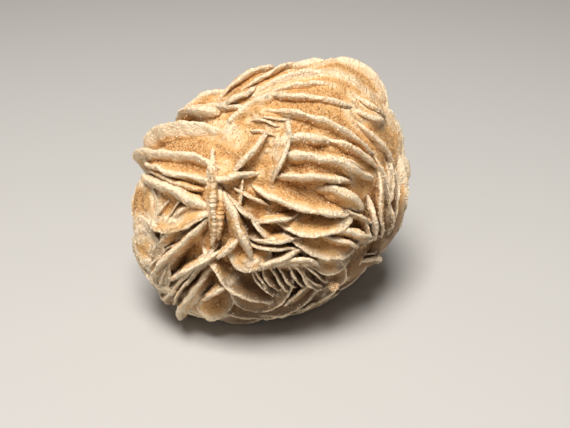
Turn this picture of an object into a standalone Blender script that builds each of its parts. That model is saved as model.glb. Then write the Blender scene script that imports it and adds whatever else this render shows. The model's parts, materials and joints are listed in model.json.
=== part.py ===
"""Gypsum sand rose: one fused cluster of lens-shaped gypsum blades round a sandy heart.

Metres, +Z up. The stone stands on the plane Z = 0, and the origin is below the middle of its box.

The front is laid out as a drawing, seen from a point SIGHT_DISTANCE away, on the plane through the
heart that is square to the line of sight. A place on the drawing is (right, up) in millimetres from
the heart.
Each front blade is three places on its rim, its start, crest and end, and its thickness. The crest
stands on the stone's envelope and the two ends dive under it, which fixes the blade's disc in space.
The flanks, the back and the underside are fans of blades that follow a rule.
"""

import math
import random
from collections import namedtuple

import bmesh
import bpy
from mathutils import Matrix, Vector

MM = 0.001

# ---- driving dimensions -------------------------------------------------------------------------
HEART = Vector((0.5 * MM, 1.05 * MM, 23.2 * MM))  # the middle of the stone, above the plane it stands on
SIGHT_DISTANCE = 167.4 * MM  # from the viewpoint to the heart
SIGHT_DOWN = math.radians(30.2)  # how far the line of sight dips
# Radius of the outline on the drawing in millimetres, every 20 degrees counterclockwise from the right.
OUTLINE = (
    (27.0, 28.3, 30.0, 30.9, 25.7, 24.0, 22.9, 24.0, 27.5)
    + (26.7, 29.0, 30.8, 30.0, 26.4, 25.3, 24.3, 25.4, 26.2)
)
RIM_DEPTH = 3.5 * MM  # how far the outline stands in front of the heart
FRONT_DEPTH = 25.0 * MM  # from the heart to the surface nearest the viewpoint
BACK_DEPTH = 22.5 * MM  # from the heart to the surface furthest from it
CORE_SHARE = 0.86  # size of the sandy core, as a share of the envelope
TOP_FILL = 0.06  # how much higher the sand lies at the upper right, as a share of the envelope
TOP_FILL_AROUND = math.radians(55)  # the direction on the drawing where it lies highest
CENTRE_HOLLOW = 0.05  # how much lower it lies in the middle of the front
END_DIVE = 0.20  # how far a blade's ends dive under the envelope, as a share of its chord
DEEPEST_DIVE = 3.6 * MM
WIDEST_BLADE = 14.5 * MM  # largest radius of a blade
SMALLEST_BLADE = 4.0 * MM  # smallest radius, which still roots a blade in the core
LENS_THICKNESS = 1.3 * MM  # blades from this thickness up swell towards the middle
LENS_RIM = 0.45  # thickness of a lens's blunt rim, as a share of its middle
LENS_SLOPE = 0.2  # width of the slope behind that rim, as a share of the radius
PLATE_RIM = 0.9  # thickness of a thin blade, which is flat, as a share of the one given
SEAM_LEFT = (-27.0, 5.0)  # where the planes of the hidden blades meet, at both ends of the stone
SEAM_RIGHT = (25.0, -3.0)
HIDDEN_PLANES = 13  # planes of hidden blades, from the top over the back to the underside
FIRST_PLANE = math.radians(10)  # measured from the top of the drawing
LAST_PLANE = math.radians(188)
BLADES_ON_PLANE = 4
HALF_SPREAD = 1.0  # how far round the seam's middle a plane's blades stand, in radians
HIDDEN_RADIUS = (8.0 * MM, 12.0 * MM)
SHIFT_ALONG = 0.12  # how far each stands from its place in the row, at most, in radians
TURN_ASIDE = 0.45  # how far it turns out of its plane, at most, in radians
LEAN_OVER = 0.25  # how far it leans about the seam, at most, in radians
HIDDEN_THICKNESS = (0.9 * MM, 1.45 * MM)
SEED = 5
# Blades of the underside that stand on the plane Z = 0: (x, y) in millimetres and their turn in degrees.
FEET = ((7.5, -4.0, 20), (3.5, 6.0, 10), (-8.0, 5.5, -15), (-6.0, -10.0, 5))
FOOT_RADIUS = 9.0 * MM
FOOT_THICKNESS = 1.8 * MM
FOOT_WEAR = 0.35 * MM  # height worn off a foot's tip
GROUND_SIZE = 120 * MM  # side of the block that wears them flat

SAND_COLOUR = (0.66, 0.47, 0.29, 1.0)
SAND_ROUGHNESS = 0.85

RIGHT = Vector((1, 0, 0))
UP = Vector((0, math.sin(SIGHT_DOWN), math.cos(SIGHT_DOWN)))
TOWARDS = Vector((0, -math.cos(SIGHT_DOWN), math.sin(SIGHT_DOWN)))

# sunk is how far the crest lies under the envelope, and dive how much deeper the ends lie. lean turns
# the disc from the plane of its three rim places (0) to the plane through the heart (1).
Blade = namedtuple("Blade", "start crest end thickness sunk dive lean", defaults=(0.0, None, 0.0))

UPPER_LEFT = (
    Blade((-24.2, 8.8), (-17.0, 13.6), (-4.4, 8.0), 1.5),
    Blade((-19.2, 14.6), (-13.0, 17.0), (-6.0, 16.6), 1.5),
    Blade((-27.6, 6.6), (-22.0, 8.1), (-14.0, 6.0), 1.2),
    Blade((-25.2, 5.6), (-19.0, 3.2), (-12.4, 1.8), 1.1),
    Blade((-26.0, 3.0), (-18.5, -0.6), (-12.0, -3.4), 2.0),
)
LEFT = (
    Blade((-25.0, 3.0), (-27.6, -2.6), (-24.5, -9.0), 1.2),
    Blade((-20.4, -1.8), (-22.0, -3.8), (-23.0, -6.0), 0.7, 1.5),
    Blade((-16.8, -3.0), (-18.2, -3.8), (-19.8, -5.6), 0.7, 2.0),
    Blade((-25.4, -4.8), (-20.5, -8.3), (-12.8, -5.2), 0.9),
    Blade((-25.0, -5.5), (-27.4, -9.0), (-26.0, -12.5), 1.0),
    Blade((-24.6, -7.8), (-27.0, -13.4), (-24.4, -18.0), 1.2),
    Blade((-20.6, -8.4), (-23.2, -10.6), (-24.2, -12.8), 1.0),
    Blade((-12.8, -5.8), (-19.4, -11.4), (-24.0, -17.0), 1.6),
    Blade((-21.0, -18.0), (-17.5, -16.2), (-13.5, -14.0), 1.2),
)
FINGERS = (
    Blade((-16.4, -16.6), (-19.6, -19.6), (-22.2, -21.8), 1.2),
    Blade((-15.6, -16.4), (-17.8, -19.2), (-20.0, -22.6), 0.7),
    Blade((-14.0, -17.4), (-17.0, -21.4), (-18.8, -26.0), 2.2),
    Blade((-22.6, -18.0), (-22.8, -20.2), (-22.4, -22.0), 0.9),
    Blade((-16.0, -22.0), (-12.0, -26.0), (-7.8, -23.0), 1.2),
    Blade((-14.0, -22.0), (-11.4, -20.6), (-9.8, -19.4), 0.8, 0.8),
)
CENTRE = (
    Blade((-11.8, 8.6), (-11.9, -1.5), (-11.4, -11.0), 1.6),
    Blade((-9.8, 0.0), (-7.4, -5.4), (-3.8, -15.0), 1.6),
    Blade((-0.6, 12.0), (-3.6, 8.2), (-7.2, 3.6), 1.1),
    Blade((3.2, 14.4), (3.3, 9.0), (0.8, 2.4), 0.8),
    Blade((-12.8, 2.0), (-8.4, 2.4), (-3.4, 3.1), 1.0, 1.0),
    Blade((-6.4, -9.6), (-8.6, -11.8), (-11.0, -13.6), 1.0),
)
UPPER_RIGHT = (
    Blade((-5.6, 23.2), (6.8, 25.4), (15.6, 26.6), 1.4, lean=0.55),
    Blade((12.0, 26.4), (19.6, 24.4), (23.8, 16.8), 1.4, lean=0.25),
    Blade((-5.2, 20.4), (-0.4, 23.4), (6.0, 25.2), 1.0),
    Blade((-9.6, 17.2), (-6.8, 18.4), (-4.6, 19.4), 1.0),
    Blade((-3.0, 19.4), (8.0, 23.9), (20.6, 17.8), 1.1),
    Blade((0.4, 19.8), (7.0, 21.8), (13.0, 20.4), 1.0),
    Blade((-9.6, 11.8), (-4.6, 17.6), (3.0, 19.2), 1.5),
    Blade((-4.0, 18.6), (6.5, 18.9), (18.2, 15.0), 1.5),
    Blade((18.2, 14.8), (20.0, 14.1), (22.6, 13.2), 1.0),
    Blade((17.4, 18.2), (19.4, 17.4), (22.8, 14.4), 1.0),
    Blade((-2.8, 15.6), (9.6, 14.3), (20.8, 6.0), 1.2),
    Blade((15.4, 15.0), (20.6, 10.8), (24.6, 4.0), 1.0),
    Blade((22.5, 17.5), (26.0, 11.8), (26.6, 4.0), 1.2, lean=0.3),
    Blade((26.0, 6.5), (27.8, 4.2), (26.6, 1.0), 1.0),
    Blade((0.4, 9.8), (6.0, 10.6), (11.6, 9.4), 1.6),
    Blade((9.6, 10.6), (16.0, 8.2), (21.4, 4.4), 1.2),
    Blade((-2.2, 7.8), (9.0, 6.6), (20.6, 1.8), 2.0),
    Blade((1.0, 3.0), (9.5, 2.5), (16.0, 1.6), 1.3),
    Blade((11.2, 0.4), (15.0, -0.7), (18.4, -3.4), 2.0),
    Blade((-3.6, 0.4), (5.4, -3.9), (16.4, -4.4), 1.4),
)
RIGHT_FLANK = (
    Blade((18.4, -0.4), (20.6, -5.6), (20.2, -10.0), 1.2),
    Blade((21.2, 4.0), (22.0, -3.0), (21.8, -9.4), 0.9),
    Blade((21.8, -1.0), (24.4, -4.4), (22.8, -8.4), 0.9),
    Blade((24.0, 5.0), (24.6, 1.5), (24.0, -2.0), 0.9),
    Blade((26.8, 2.0), (26.4, -5.0), (21.6, -13.0), 1.2),
    Blade((17.0, -13.0), (20.0, -13.8), (21.8, -14.0), 0.9),
)
LOWER_RIGHT = (
    Blade((1.2, -7.0), (8.6, -9.6), (16.4, -5.2), 1.0),
    Blade((4.0, -10.6), (11.0, -14.3), (16.2, -12.6), 1.0),
    Blade((14.2, -8.0), (17.0, -8.5), (20.2, -10.2), 1.2),
    Blade((12.0, -9.8), (14.6, -10.7), (17.4, -11.6), 1.0),
    Blade((3.8, -14.2), (5.6, -14.0), (7.4, -14.4), 1.0),
    Blade((-4.0, -10.0), (0.4, -10.5), (4.6, -9.8), 0.8),
    Blade((-4.0, -11.0), (0.0, -12.2), (4.4, -12.2), 0.8),
    Blade((-3.4, -6.8), (1.0, -6.4), (4.6, -5.0), 0.8, 1.0),
    Blade((-3.0, -15.6), (0.4, -14.4), (5.6, -12.2), 1.4),
    Blade((8.0, -16.2), (11.0, -17.2), (15.0, -15.2), 0.8),
    Blade((14.6, -15.6), (14.9, -17.4), (13.2, -19.4), 0.8),
    Blade((13.0, -20.4), (16.6, -17.6), (20.4, -15.2), 1.0),
)
FRONT_APRON = (
    Blade((-8.4, -14.4), (-5.4, -16.5), (-1.0, -14.8), 1.0),
    Blade((-12.6, -14.8), (-7.4, -20.9), (0.0, -22.4), 1.2),
    Blade((-4.0, -16.6), (-3.0, -19.0), (0.0, -21.2), 0.7, 0.5),
    Blade((-1.8, -17.4), (-1.0, -19.0), (0.6, -20.2), 0.7, 0.8),
    Blade((0.2, -17.2), (1.4, -19.0), (3.2, -20.4), 0.7, 0.5),
    Blade((1.6, -16.6), (2.6, -18.2), (4.4, -19.8), 0.7, 0.8),
    Blade((4.0, -14.4), (6.2, -18.0), (10.0, -20.2), 0.8),
    Blade((-8.6, -20.4), (-4.6, -24.6), (0.4, -23.4), 1.0),
    Blade((-8.4, -25.0), (-1.0, -25.9), (9.0, -22.8), 1.0),
    Blade((-0.8, -24.2), (2.2, -22.6), (3.4, -20.6), 0.8),
    Blade((2.6, -22.6), (4.4, -21.2), (6.4, -19.8), 0.8, 0.5),
    Blade((4.4, -25.0), (9.0, -22.7), (13.0, -20.4), 1.0),
)
FRONT = UPPER_LEFT + LEFT + FINGERS + CENTRE + UPPER_RIGHT + RIGHT_FLANK + LOWER_RIGHT + FRONT_APRON


def outline_radius(angle):
    """Radius of the outline at an angle on the drawing, with a smooth change between the given ones."""
    place = (math.degrees(angle) % 360) / (360 / len(OUTLINE))
    before = int(place) % len(OUTLINE)
    after = (before + 1) % len(OUTLINE)
    share = place - int(place)
    share = share * share * (3 - 2 * share)
    return (OUTLINE[before] * (1 - share) + OUTLINE[after] * share) * MM


def in_space(right, up, depth):
    """The point that shows at (right, up) on the drawing and stands this far in front of the heart."""
    shrink = 1 - max(depth, RIM_DEPTH) / SIGHT_DISTANCE
    return HEART + RIGHT * right * shrink + UP * up * shrink + TOWARDS * depth


def envelope_depth(right, up):
    """How far the front of the envelope stands before the heart, at a place on the drawing."""
    share = min(1.0, math.hypot(right, up) / outline_radius(math.atan2(up, right)))
    return RIM_DEPTH + (FRONT_DEPTH - RIM_DEPTH) * math.sqrt(1 - share * share)


def envelope_point(around, lift, share=1.0):
    """A point of the envelope. around turns about the line of sight, lift rises towards the viewpoint."""
    radius = outline_radius(around) * math.cos(lift) * share
    reach = FRONT_DEPTH - RIM_DEPTH if lift > 0 else BACK_DEPTH + RIM_DEPTH
    depth = RIM_DEPTH + reach * math.sin(lift) * share
    return in_space(radius * math.cos(around), radius * math.sin(around), depth)


def rim_points(blade):
    """The start, crest and end of a front blade, in space."""
    chord = math.dist(blade.start, blade.end) * MM
    dive = min(END_DIVE * chord, DEEPEST_DIVE) if blade.dive is None else blade.dive * MM
    points = []
    for (right, up), under in ((blade.start, dive), (blade.crest, 0), (blade.end, dive)):
        depth = envelope_depth(right * MM, up * MM) - under - blade.sunk * MM
        points.append(in_space(right * MM, up * MM, depth))
    return points


def disc_through(start, crest, end, lean):
    """The centre, normal and radius of the disc whose rim passes through three points, then leant."""
    first = start - crest
    second = end - crest
    normal = first.cross(second)
    towards_centre = first.length_squared * second - second.length_squared * first
    offset = towards_centre.cross(normal) / (2 * normal.length_squared)
    radius = min(max(offset.length, SMALLEST_BLADE), WIDEST_BLADE)
    along = offset.cross(normal).normalized()
    home = HEART - crest
    home = (home - along * home.dot(along)).normalized()
    inward = (offset.normalized() * (1 - lean) + home * lean).normalized()
    return crest + inward * radius, along.cross(inward), radius


def segments_round(radius):
    """Sides of a blade's outline: the small ones need fewer."""
    return 8 if radius < 5 * MM else 10 if radius < 9 * MM else 12


def add_lens(name, collection, centre, normal, radius, thickness):
    """A blade: a flat disc or, if it is a thick one, a lens with a blunt rim."""
    lens_shaped = thickness >= LENS_THICKNESS
    rim = thickness * (LENS_RIM if lens_shaped else PLATE_RIM)
    mesh = bmesh.new()
    bmesh.ops.create_cone(
        mesh, cap_ends=True, segments=segments_round(radius), radius1=radius, radius2=radius, depth=rim
    )
    if lens_shaped:
        caps = [face for face in mesh.faces if len(face.verts) > 4]
        swell = (thickness - rim) / 2
        bmesh.ops.inset_individual(mesh, faces=caps, thickness=radius * LENS_SLOPE, depth=swell)
    turn = normal.to_track_quat("Z", "Y").to_matrix().to_4x4()
    bmesh.ops.transform(mesh, matrix=Matrix.Translation(centre) @ turn, verts=mesh.verts)
    data = bpy.data.meshes.new(name)
    mesh.to_mesh(data)
    mesh.free()
    lens = bpy.data.objects.new(name, data)
    lens.hide_render = True
    lens.display_type = "WIRE"
    collection.objects.link(lens)
    return lens


def add_front_blades(collection):
    for number, blade in enumerate(FRONT):
        centre, normal, radius = disc_through(*rim_points(blade), blade.lean)
        add_lens(f"front_blade_{number}", collection, centre, normal, radius, blade.thickness * MM)


def hidden_crest(outward):
    """The point of the envelope in a direction from the heart."""
    around = math.atan2(outward.dot(UP), outward.dot(RIGHT))
    return envelope_point(around, math.asin(max(-1.0, min(1.0, outward.dot(TOWARDS)))))


def add_hidden_blades(collection):
    """The flanks, the back and the underside: fans of blades whose planes meet in one seam."""
    chance = random.Random(SEED)
    left_end = in_space(SEAM_LEFT[0] * MM, SEAM_LEFT[1] * MM, 0)
    right_end = in_space(SEAM_RIGHT[0] * MM, SEAM_RIGHT[1] * MM, 0)
    seam = (right_end - left_end).normalized()
    top = (UP - seam * UP.dot(seam)).normalized()
    for number in range(HIDDEN_PLANES):
        turn = FIRST_PLANE + (LAST_PLANE - FIRST_PLANE) * number / (HIDDEN_PLANES - 1)
        middle = Matrix.Rotation(-turn, 3, seam) @ top
        for blade in range(BLADES_ON_PLANE):
            share = (blade + 0.25 + 0.5 * (number % 2)) / BLADES_ON_PLANE
            bend = HALF_SPREAD * (2 * share - 1) + chance.uniform(-SHIFT_ALONG, SHIFT_ALONG)
            outward = (middle * math.cos(bend) + seam * math.sin(bend)).normalized()
            normal = outward.cross(seam).normalized()
            normal = Matrix.Rotation(chance.uniform(-TURN_ASIDE, TURN_ASIDE), 3, outward) @ normal
            normal = Matrix.Rotation(chance.uniform(-LEAN_OVER, LEAN_OVER), 3, seam) @ normal
            inward = (outward - normal * outward.dot(normal)).normalized()
            radius = chance.uniform(*HIDDEN_RADIUS)
            centre = hidden_crest(outward) - inward * radius
            thickness = chance.uniform(*HIDDEN_THICKNESS)
            add_lens(f"hidden_blade_{number}", collection, centre, normal, radius, thickness)


def add_feet(collection):
    """The upright blades of the underside that the stone stands on."""
    for x, y, turn in FEET:
        centre = Vector((x * MM, y * MM, FOOT_RADIUS - FOOT_WEAR))
        normal = Matrix.Rotation(math.radians(turn), 3, "Z") @ Vector((0, 1, 0))
        add_lens("foot", collection, centre, normal, FOOT_RADIUS, FOOT_THICKNESS)


def core_share(around, lift):
    """Size of the core in a direction: the sand lies high at the upper right and low in the middle."""
    nearness = max(0.0, math.cos(around - TOP_FILL_AROUND)) * math.cos(lift)
    hollow = max(0.0, math.sin(lift)) ** 6
    return CORE_SHARE + TOP_FILL * nearness - CENTRE_HOLLOW * hollow


def core_mesh():
    """The sandy heart that the blades are rooted in."""
    mesh = bmesh.new()
    bmesh.ops.create_icosphere(mesh, subdivisions=2, radius=1)
    for vert in mesh.verts:
        around = math.atan2(vert.co.y, vert.co.x)
        lift = math.asin(max(-1.0, min(1.0, vert.co.z)))
        vert.co = envelope_point(around, lift, core_share(around, lift))
    data = bpy.data.meshes.new("core")
    mesh.to_mesh(data)
    mesh.free()
    return data


def island_round(vert):
    """The vertices that edges join to this one."""
    found = {vert}
    frontier = [vert]
    while frontier:
        for edge in frontier.pop().link_edges:
            for other in edge.verts:
                if other not in found:
                    found.add(other)
                    frontier.append(other)
    return found


def keep_outer_skin(data):
    """Deletes the skins of the pockets shut in between blades, which are solid in the stone."""
    mesh = bmesh.new()
    mesh.from_mesh(data)
    outermost = max(mesh.verts, key=lambda vert: vert.co.z)
    outer = island_round(outermost)
    inner = [vert for vert in mesh.verts if vert not in outer]
    bmesh.ops.delete(mesh, geom=inner, context="VERTS")
    mesh.to_mesh(data)
    mesh.free()


def grow_stone(collection, blades):
    """Joins the core and the blades into one solid."""
    core = bpy.data.objects.new("core", core_mesh())
    collection.objects.link(core)
    join = core.modifiers.new("grown_together", "BOOLEAN")
    join.operation = "UNION"
    join.operand_type = "COLLECTION"
    join.collection = blades
    bpy.context.view_layer.update()
    joined = core.evaluated_get(bpy.context.evaluated_depsgraph_get())
    data = bpy.data.meshes.new_from_object(joined)
    bpy.data.objects.remove(core)
    keep_outer_skin(data)
    data.name = "sand_rose"
    stone = bpy.data.objects.new("sand_rose", data)
    collection.objects.link(stone)
    return stone


def gypsum():
    """Pale tan gypsum, dusty with sand."""
    material = bpy.data.materials.new("gypsum")
    material.use_nodes = True
    shader = material.node_tree.nodes["Principled BSDF"]
    shader.inputs["Base Color"].default_value = SAND_COLOUR
    shader.inputs["Roughness"].default_value = SAND_ROUGHNESS
    shader.inputs["Metallic"].default_value = 0.0
    return material


def add_ground(collection):
    """A block under the plane Z = 0, which wears the tips of the lowest blades flat."""
    mesh = bmesh.new()
    bmesh.ops.create_cube(mesh, size=GROUND_SIZE)
    bmesh.ops.translate(mesh, vec=(0, 0, -GROUND_SIZE / 2), verts=mesh.verts)
    data = bpy.data.meshes.new("ground")
    mesh.to_mesh(data)
    mesh.free()
    ground = bpy.data.objects.new("ground", data)
    ground.hide_render = True
    ground.display_type = "WIRE"
    collection.objects.link(ground)
    return ground


def new_collection(name):
    collection = bpy.data.collections.new(name)
    bpy.context.scene.collection.children.link(collection)
    return collection


def main():
    for obj in list(bpy.data.objects):
        bpy.data.objects.remove(obj)
    part = new_collection("sand_rose")
    blades = new_collection("blades")
    add_front_blades(blades)
    add_hidden_blades(blades)
    add_feet(blades)
    stone = grow_stone(part, blades)
    stone.data.materials.clear()
    stone.data.materials.append(gypsum())
    trim = stone.modifiers.new("worn_flat", "BOOLEAN")
    trim.operation = "DIFFERENCE"
    trim.object = add_ground(new_collection("cutters"))


main()
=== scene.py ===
"""Gypsum sand rose: crystal blades, the sand cemented between them and loose grains.

The front is laid out as a drawing on the plane through the stone's heart, square to the line of sight.
A place on the drawing is (right, up) in millimetres from the heart. A blade is three places on its rim,
its start, crest and end, and its thickness in millimetres. The crest stands on the stone's envelope.
"""

import json
import math
import random
from collections import namedtuple

import bmesh
import bpy
import numpy as np
from bpy.props import FloatProperty, FloatVectorProperty, IntProperty, PointerProperty
from mathutils import Matrix, Vector, noise
from mathutils.bvhtree import BVHTree

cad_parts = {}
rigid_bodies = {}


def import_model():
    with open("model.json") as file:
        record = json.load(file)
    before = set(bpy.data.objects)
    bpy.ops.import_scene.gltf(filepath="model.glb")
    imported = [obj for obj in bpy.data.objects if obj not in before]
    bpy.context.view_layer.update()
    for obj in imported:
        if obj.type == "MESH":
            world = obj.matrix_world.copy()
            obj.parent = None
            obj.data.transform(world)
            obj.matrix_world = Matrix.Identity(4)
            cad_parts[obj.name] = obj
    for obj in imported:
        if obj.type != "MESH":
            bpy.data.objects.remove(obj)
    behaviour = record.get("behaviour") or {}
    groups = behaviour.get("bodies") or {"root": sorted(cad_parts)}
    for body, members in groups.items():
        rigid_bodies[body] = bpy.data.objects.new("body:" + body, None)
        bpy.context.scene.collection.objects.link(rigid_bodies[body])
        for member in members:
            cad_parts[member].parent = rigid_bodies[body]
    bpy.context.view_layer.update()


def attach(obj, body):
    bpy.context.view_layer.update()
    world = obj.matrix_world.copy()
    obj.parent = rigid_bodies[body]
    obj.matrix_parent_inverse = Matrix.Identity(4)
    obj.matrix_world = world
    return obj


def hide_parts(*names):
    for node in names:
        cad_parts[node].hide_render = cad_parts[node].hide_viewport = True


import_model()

bl_info = {
    "name": "Gypsum Sand Rose",
    "version": (1, 0, 0),
    "blender": (4, 5, 0),
    "location": "View3D > Sidebar > Sand Rose",
    "description": "Builds a gypsum sand rose: its crystal blades, its sand and its loose grains",
    "category": "Add Mesh",
}

MM = 0.001

# ---- the stone's layout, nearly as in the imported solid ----
HEART = Vector((0.5 * MM, 1.05 * MM, 23.2 * MM))
SIGHT_DISTANCE = 167.4 * MM
SIGHT_DOWN = math.radians(30.2)
OUTLINE = (
    (27.0, 28.3, 30.0, 30.9, 25.7, 24.0, 22.9, 24.0, 27.5)
    + (26.7, 29.0, 30.8, 30.0, 26.4, 25.3, 24.3, 25.4, 26.2)
)
RIM_DEPTH = 3.5 * MM
FRONT_DEPTH = 25.0 * MM
BACK_DEPTH = 22.5 * MM
END_DIVE = 0.20
DEEPEST_DIVE = 3.6 * MM
WIDEST_BLADE = 14.5 * MM
SMALLEST_BLADE = 4.0 * MM
SEAM_LEFT = (-27.0, 5.0)
SEAM_RIGHT = (25.0, -3.0)
HIDDEN_PLANES = 13
FIRST_PLANE = math.radians(10)
LAST_PLANE = math.radians(188)
BLADES_ON_PLANE = 4
HALF_SPREAD = 1.0
HIDDEN_RADIUS = (8.0 * MM, 12.0 * MM)
SHIFT_ALONG = 0.12
TURN_ASIDE = 0.45
LEAN_OVER = 0.25
HIDDEN_THICKNESS = (0.9 * MM, 1.45 * MM)
HIDDEN_BARE = 1.2 * MM  # how much more the hidden blades stand clear of sand
HIDDEN_CLEAN = -0.7 * HIDDEN_BARE  # most of that band is coloured like sand all the same
SEED = 5
FEET = ((7.5, -4.0, 20), (3.5, 6.0, 10), (-8.0, 5.5, -15), (-6.0, -10.0, 5))
FOOT_RADIUS = 9.0 * MM
FOOT_THICKNESS = 1.8 * MM
FOOT_WEAR = 0.35 * MM

RIGHT = Vector((1, 0, 0))
UP = Vector((0, math.sin(SIGHT_DOWN), math.cos(SIGHT_DOWN)))
TOWARDS = Vector((0, -math.cos(SIGHT_DOWN), math.sin(SIGHT_DOWN)))

# A blade's crest lies sunk under the envelope, and its ends dive under the crest. lean turns it towards the
# heart, full is the exponent of its outline, bare and clean are how much more of it is free of sand or only
# of the sand's colour, dent is the depth of the dent in its rim, and ribs the height of the ribs round it.
Blade = namedtuple(
    "Blade",
    "start crest end thickness sunk dive lean full bare clean dent ribs",
    defaults=(0.0, None, 0.0, 2.0, 0.0, 0.0, 0.0, 0.0),
)
Disc = namedtuple(
    "Disc",
    "centre normal crestward radius thickness full bare clean dent ribs",
    defaults=(2.0, 0.0, 0.0, 0.0, 0.0),
)

UPPER_LEFT = (
    Blade((-24.8, 9.8), (-17.4, 13.9), (-4.2, 8.0), 1.7, dive=5.8, full=2.6, bare=1.5, clean=0.5, dent=1.0),
    Blade((-19.2, 14.6), (-13.0, 17.0), (-6.0, 16.6), 1.5),
    Blade((-27.2, 5.8), (-22.6, 8.1), (-14.0, 6.0), 1.6, bare=0.4, clean=0.4),
    Blade((-25.2, 5.6), (-19.0, 3.2), (-12.4, 1.8), 1.1, bare=-0.2, clean=0.5),
    Blade((-26.0, 3.0), (-18.5, -0.6), (-12.0, -3.4), 2.0, clean=0.6),
)
LEFT = (
    Blade((-25.0, 3.0), (-27.6, -2.6), (-24.5, -9.0), 1.2, clean=0.5),
    Blade((-20.4, -1.8), (-22.0, -3.8), (-23.0, -6.0), 0.7, 1.5),
    Blade((-16.8, -3.0), (-18.2, -3.8), (-19.8, -5.6), 0.7, 2.0),
    Blade((-25.4, -4.8), (-20.5, -8.3), (-12.8, -5.2), 0.9, clean=-0.5),
    Blade((-25.0, -5.5), (-27.4, -9.0), (-26.0, -12.5), 1.0, clean=0.5),
    Blade((-24.6, -7.8), (-27.0, -13.4), (-24.4, -18.0), 1.2, clean=0.5),
    Blade((-20.6, -8.4), (-23.2, -10.6), (-24.2, -12.8), 1.0),
    Blade((-12.8, -5.8), (-19.4, -11.4), (-24.0, -17.0), 1.6),
    Blade((-21.0, -18.0), (-17.5, -16.2), (-13.5, -14.0), 1.2),
)
FINGERS = (
    Blade((-16.4, -16.6), (-19.6, -19.6), (-22.2, -21.8), 1.2),
    Blade((-15.6, -16.4), (-17.8, -19.2), (-20.0, -22.6), 0.7),
    Blade((-14.0, -17.4), (-17.0, -21.4), (-18.8, -26.0), 2.0, dive=3.4),
    Blade((-22.6, -18.0), (-22.8, -20.2), (-22.4, -22.0), 0.9),
    Blade((-16.0, -22.0), (-12.0, -26.0), (-7.8, -23.0), 1.2, dive=5.0),
    Blade((-14.0, -22.0), (-11.4, -20.6), (-9.8, -19.4), 0.8, 0.8),
)
CENTRE = (
    Blade((-11.8, 8.6), (-11.9, -1.5), (-11.4, -11.0), 1.5, clean=-0.4, ribs=0.16),
    Blade((-9.8, 0.0), (-7.4, -5.4), (-3.8, -15.0), 1.6),
    Blade((-0.6, 12.0), (-3.6, 8.2), (-7.2, 3.6), 1.1),
    Blade((3.2, 14.4), (3.3, 9.0), (0.8, 2.4), 0.8),
    Blade((-12.8, 2.0), (-8.4, 2.4), (-3.4, 3.1), 1.0, 1.0),
    Blade((-6.4, -9.6), (-8.6, -11.8), (-11.0, -13.6), 1.0),
)
UPPER_RIGHT = (
    Blade((-5.6, 23.2), (6.8, 25.4), (15.6, 26.6), 1.4, lean=0.55, clean=0.8),
    Blade((12.0, 26.4), (19.6, 24.4), (23.8, 16.8), 1.4, lean=0.25, bare=-0.5, clean=4.6),
    Blade((-5.2, 20.4), (-0.4, 23.4), (6.0, 25.2), 1.0),
    Blade((-9.6, 17.2), (-6.8, 18.4), (-4.6, 19.4), 1.0),
    Blade((-3.0, 19.4), (8.0, 23.9), (20.6, 17.8), 1.1, clean=1.5),
    Blade((0.4, 19.8), (7.0, 21.8), (13.0, 20.4), 1.0),
    Blade((-9.6, 11.8), (-4.6, 17.6), (3.0, 19.2), 1.5),
    Blade((-4.0, 18.6), (6.5, 18.9), (18.2, 15.0), 1.5),
    Blade((18.2, 14.8), (20.0, 14.1), (22.6, 13.2), 1.0, 0.3, bare=-0.6, clean=1.4),
    Blade((17.4, 18.2), (19.4, 17.4), (22.8, 14.4), 1.0, bare=-0.6, clean=1.4),
    Blade((-2.8, 15.6), (9.6, 14.3), (20.8, 6.0), 1.2),
    Blade((15.4, 15.0), (20.6, 10.8), (24.6, 4.0), 1.0, clean=1.0),
    Blade((22.5, 17.5), (26.0, 11.8), (26.6, 4.0), 1.2, lean=0.3, clean=4.6),
    Blade((26.0, 6.5), (27.8, 4.2), (26.6, 1.0), 1.0, dive=5.0),
    Blade((0.4, 9.8), (6.0, 10.6), (11.6, 9.4), 1.6),
    Blade((9.6, 10.6), (16.0, 8.2), (21.4, 4.4), 1.2),
    Blade((-2.2, 7.8), (9.0, 6.6), (20.6, 1.8), 2.0),
    Blade((1.0, 3.0), (9.5, 2.5), (16.0, 1.6), 1.3),
    Blade((11.2, 0.4), (15.0, -0.7), (18.4, -3.4), 2.0),
    Blade((-3.6, 0.4), (5.4, -3.9), (16.4, -4.4), 1.4),
)
RIGHT_FLANK = (
    Blade((18.4, -0.4), (20.6, -5.6), (20.2, -10.0), 1.2, dive=5.0),
    Blade((21.2, 4.0), (22.0, -3.0), (21.8, -9.4), 0.9),
    Blade((21.8, -1.0), (24.4, -4.4), (22.8, -8.4), 0.9, dive=5.0),
    Blade((24.0, 5.0), (24.6, 1.5), (24.0, -2.0), 0.9),
    Blade((26.8, 2.0), (26.4, -5.0), (21.6, -13.0), 1.2, bare=1.0),
)
LOWER_RIGHT = (
    Blade((1.2, -7.0), (8.6, -9.6), (16.4, -5.2), 1.0),
    Blade((4.0, -10.6), (11.0, -14.3), (16.2, -12.6), 1.0),
    Blade((14.2, -8.0), (17.0, -8.5), (20.2, -10.2), 1.2),
    Blade((12.0, -9.8), (14.6, -10.7), (17.4, -11.6), 1.0),
    Blade((3.8, -14.2), (5.6, -14.0), (7.4, -14.4), 1.0),
    Blade((-4.0, -10.0), (0.4, -10.5), (4.6, -9.8), 0.8),
    Blade((-4.0, -11.0), (0.0, -12.2), (4.4, -12.2), 0.8),
    Blade((-3.4, -6.8), (1.0, -6.4), (4.6, -5.0), 0.8, 1.0),
    Blade((-3.0, -15.6), (0.4, -14.4), (5.6, -12.2), 1.4),
    Blade((8.0, -16.2), (11.0, -17.2), (15.0, -15.2), 0.8),
    Blade((14.6, -15.6), (14.9, -17.4), (13.2, -19.4), 0.8),
)
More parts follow.
